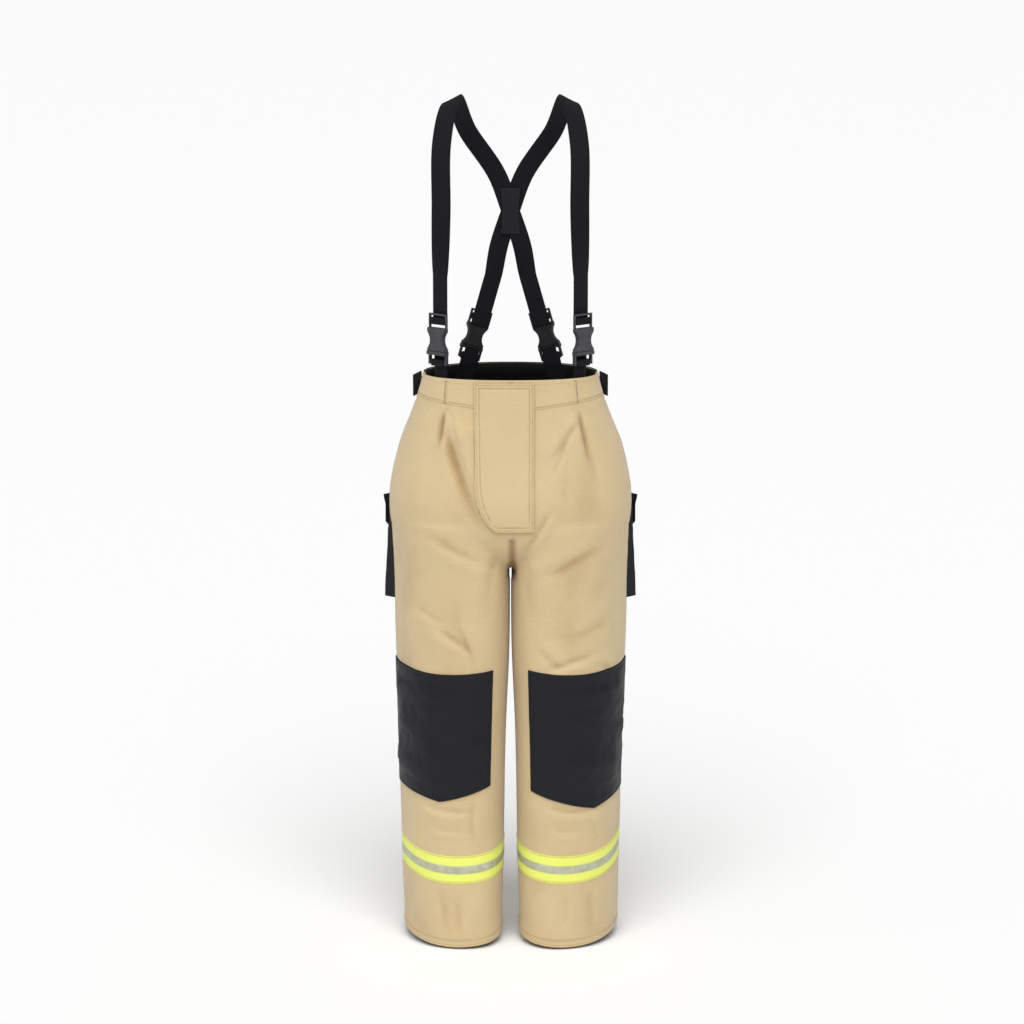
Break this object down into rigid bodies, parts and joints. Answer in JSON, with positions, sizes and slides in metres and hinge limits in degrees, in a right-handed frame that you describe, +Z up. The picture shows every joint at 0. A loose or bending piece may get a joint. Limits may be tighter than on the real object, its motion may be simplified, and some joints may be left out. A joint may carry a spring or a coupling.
{
  "type": "bunker pants",
  "caption": "Firefighter's protective trousers with crossed suspenders on side-release buckles, fly flap, knee patches, cargo pockets and reflective leg trim.",
  "frame": {"origin": "centre of the waist opening, level with the waistband's upper edge", "axes": "+Z up along the body, front of the trousers towards -Y, +X towards the wearer's left"},
  "size_m": [0.445, 0.2824, 1.4735],
  "materials": {
    "shell_tan": "matte rip-stop aramid outer shell cloth, tan",
    "liner_cream": "quilted thermal liner, cream",
    "black_webbing": "woven black webbing",
    "black_coated": "polymer-coated black aramid with a slight sheen",
    "buckle_plastic": "moulded acetal, satin",
    "zip_tape": "woven tape",
    "zip_brass": "dull brass",
    "knee_foam": "closed-cell foam pad in cloth",
    "lime_trim": "fluorescent lime trim",
    "silver_trim": "silver-grey retroreflective stripe"
  },
  "bodies": {
    "trousers": {"waistband_back": "shell_tan", "waist_lining": "black_coated", "thermal_liner": "liner_cream", "zipper_tape": "zip_tape", "fly_placket": "shell_tan", "cross_patch": "black_coated", "front_panel_left": "shell_tan", "front_panel_right": "shell_tan", "back_panel_left": "shell_tan", "back_panel_right": "shell_tan", "waistband_front_left": "shell_tan", "waistband_front_right": "shell_tan", "leg_hem_left": "shell_tan", "leg_hem_right": "shell_tan", "knee_pad_left": "knee_foam", "knee_pad_right": "knee_foam", "knee_patch_left": "black_coated", "knee_patch_right": "black_coated", "hi_vis_tape_left": "lime_trim", "hi_vis_tape_right": "lime_trim", "reflective_stripe_left": "silver_trim", "reflective_stripe_right": "silver_trim", "cargo_pocket_left": "black_coated", "cargo_pocket_right": "black_coated", "takeup_strap_left": "black_webbing", "takeup_strap_right": "black_webbing", "front_tab_left": "black_webbing", "front_tab_right": "black_webbing", "rear_tab_left": "black_webbing", "rear_tab_right": "black_webbing", "shoulder_strap_left": "black_webbing", "shoulder_strap_right": "black_webbing", "front_plug_left": "buckle_plastic", "rear_plug_left": "buckle_plastic", "front_plug_right": "buckle_plastic", "rear_plug_right": "buckle_plastic"},
    "front_release_left": {"front_socket_left": "buckle_plastic", "front_loop_left": "black_webbing"},
    "front_latch_a_left": {"front_prong_a_left": "buckle_plastic"},
    "front_latch_b_left": {"front_prong_b_left": "buckle_plastic"},
    "rear_release_left": {"rear_socket_left": "buckle_plastic", "rear_loop_left": "black_webbing"},
    "rear_latch_a_left": {"rear_prong_a_left": "buckle_plastic"},
    "rear_latch_b_left": {"rear_prong_b_left": "buckle_plastic"},
    "cargo_lid_left": {"cargo_flap_left": "black_coated"},
    "takeup_pull_left": {"takeup_tab_left": "black_webbing"},
    "front_release_right": {"front_socket_right": "buckle_plastic", "front_loop_right": "black_webbing"},
    "front_latch_a_right": {"front_prong_a_right": "buckle_plastic"},
    "front_latch_b_right": {"front_prong_b_right": "buckle_plastic"},
    "rear_release_right": {"rear_socket_right": "buckle_plastic", "rear_loop_right": "black_webbing"},
    "rear_latch_a_right": {"rear_prong_a_right": "buckle_plastic"},
    "rear_latch_b_right": {"rear_prong_b_right": "buckle_plastic"},
    "cargo_lid_right": {"cargo_flap_right": "black_coated"},
    "takeup_pull_right": {"takeup_tab_right": "black_webbing"},
    "fly": {"fly_flap": "shell_tan", "fly_hook_strip": "zip_tape"},
    "zip": {"zipper_slider": "zip_brass", "zipper_pull": "zip_brass"}
  },
  "joints": [
    {"name": "front_release_left_slide", "type": "slide", "parent": "trousers", "child": "front_release_left", "axis": [0, 0, 1], "range_m": [0, 0.045]},
    {"name": "front_latch_a_left_hinge", "type": "hinge", "parent": "trousers", "child": "front_latch_a_left", "pos_m": [0.13257, -0.05209, 0.0466], "axis": [0.6465, -0.7629, 0], "range_deg": [0, 14]},
    {"name": "front_latch_b_left_hinge", "type": "hinge", "parent": "trousers", "child": "front_latch_b_left", "pos_m": [0.11487, -0.06709, 0.0466], "axis": [-0.6465, 0.7629, 0], "range_deg": [0, 14]},
    {"name": "front_release_right_slide", "type": "slide", "parent": "trousers", "child": "front_release_right", "axis": [0, 0, 1], "range_m": [0, 0.045]},
    {"name": "front_latch_a_right_hinge", "type": "hinge", "parent": "trousers", "child": "front_latch_a_right", "pos_m": [-0.13257, -0.05209, 0.0466], "axis": [0.6465, 0.7629, 0], "range_deg": [0, 14]},
    {"name": "front_latch_b_right_hinge", "type": "hinge", "parent": "trousers", "child": "front_latch_b_right", "pos_m": [-0.11487, -0.06709, 0.0466], "axis": [-0.6465, -0.7629, 0], "range_deg": [0, 14]},
    {"name": "rear_release_left_slide", "type": "slide", "parent": "trousers", "child": "rear_release_left", "axis": [-0.2744, 0.1009, 0.9563], "range_m": [0, 0.045]},
    {"name": "rear_latch_a_left_hinge", "type": "hinge", "parent": "trousers", "child": "rear_latch_a_left", "pos_m": [0.05716, 0.11136, 0.02778], "axis": [0.3451, 0.9386, 0], "range_deg": [0, 14]},
    {"name": "rear_latch_b_left_hinge", "type": "hinge", "parent": "trousers", "child": "rear_latch_b_left", "pos_m": [0.07798, 0.1037, 0.03457], "axis": [-0.3451, -0.9386, 0], "range_deg": [0, 14]},
    {"name": "rear_release_right_slide", "type": "slide", "parent": "trousers", "child": "rear_release_right", "axis": [0.2744, 0.1009, 0.9563], "range_m": [0, 0.045]},
    {"name": "rear_latch_a_right_hinge", "type": "hinge", "parent": "trousers", "child": "rear_latch_a_right", "pos_m": [-0.05716, 0.11136, 0.02778], "axis": [0.3451, -0.9386, 0], "range_deg": [0, 14]},
    {"name": "rear_latch_b_right_hinge", "type": "hinge", "parent": "trousers", "child": "rear_latch_b_right", "pos_m": [-0.07798, 0.1037, 0.03457], "axis": [-0.3451, 0.9386, 0], "range_deg": [0, 14]},
    {"name": "fly_flap_hinge", "type": "hinge", "parent": "trousers", "child": "fly", "pos_m": [0.0405, -0.136, -0.134], "axis": [0, 0, 1], "range_deg": [0, 140]},
    {"name": "zipper_slide", "type": "slide", "parent": "trousers", "child": "zip", "axis": [0, -0.142, -0.9899], "range_m": [0, 0.15]},
    {"name": "cargo_lid_left_hinge", "type": "hinge", "parent": "trousers", "child": "cargo_lid_left", "pos_m": [0.18357, 0.11354, -0.226], "axis": [0.6428, -0.766, 0], "range_deg": [0, 150]},
    {"name": "takeup_pull_left_hinge", "type": "hinge", "parent": "trousers", "child": "takeup_pull_left", "pos_m": [0.15544, 0.0497, -0.023], "axis": [0, 0, 1], "range_deg": [0, 75]},
    {"name": "cargo_lid_right_hinge", "type": "hinge", "parent": "trousers", "child": "cargo_lid_right", "pos_m": [-0.18357, 0.11354, -0.226], "axis": [0.6428, 0.766, 0], "range_deg": [0, 150]},
    {"name": "takeup_pull_right_hinge", "type": "hinge", "parent": "trousers", "child": "takeup_pull_right", "pos_m": [-0.15544, 0.0497, -0.023], "axis": [0, 0, -1], "range_deg": [0, 75]}
  ],
  "couplings": [
    {"joint": "front_latch_a_left_hinge", "follows": "front_release_left_slide", "rad_per_m": 5.4},
    {"joint": "front_latch_b_left_hinge", "follows": "front_release_left_slide", "rad_per_m": 5.4},
    {"joint": "front_latch_a_right_hinge", "follows": "front_release_right_slide", "rad_per_m": 5.4},
    {"joint": "front_latch_b_right_hinge", "follows": "front_release_right_slide", "rad_per_m": 5.4},
    {"joint": "rear_latch_a_left_hinge", "follows": "rear_release_left_slide", "rad_per_m": 5.4},
    {"joint": "rear_latch_b_left_hinge", "follows": "rear_release_left_slide", "rad_per_m": 5.4},
    {"joint": "rear_latch_a_right_hinge", "follows": "rear_release_right_slide", "rad_per_m": 5.4},
    {"joint": "rear_latch_b_right_hinge", "follows": "rear_release_right_slide", "rad_per_m": 5.4}
  ]
}
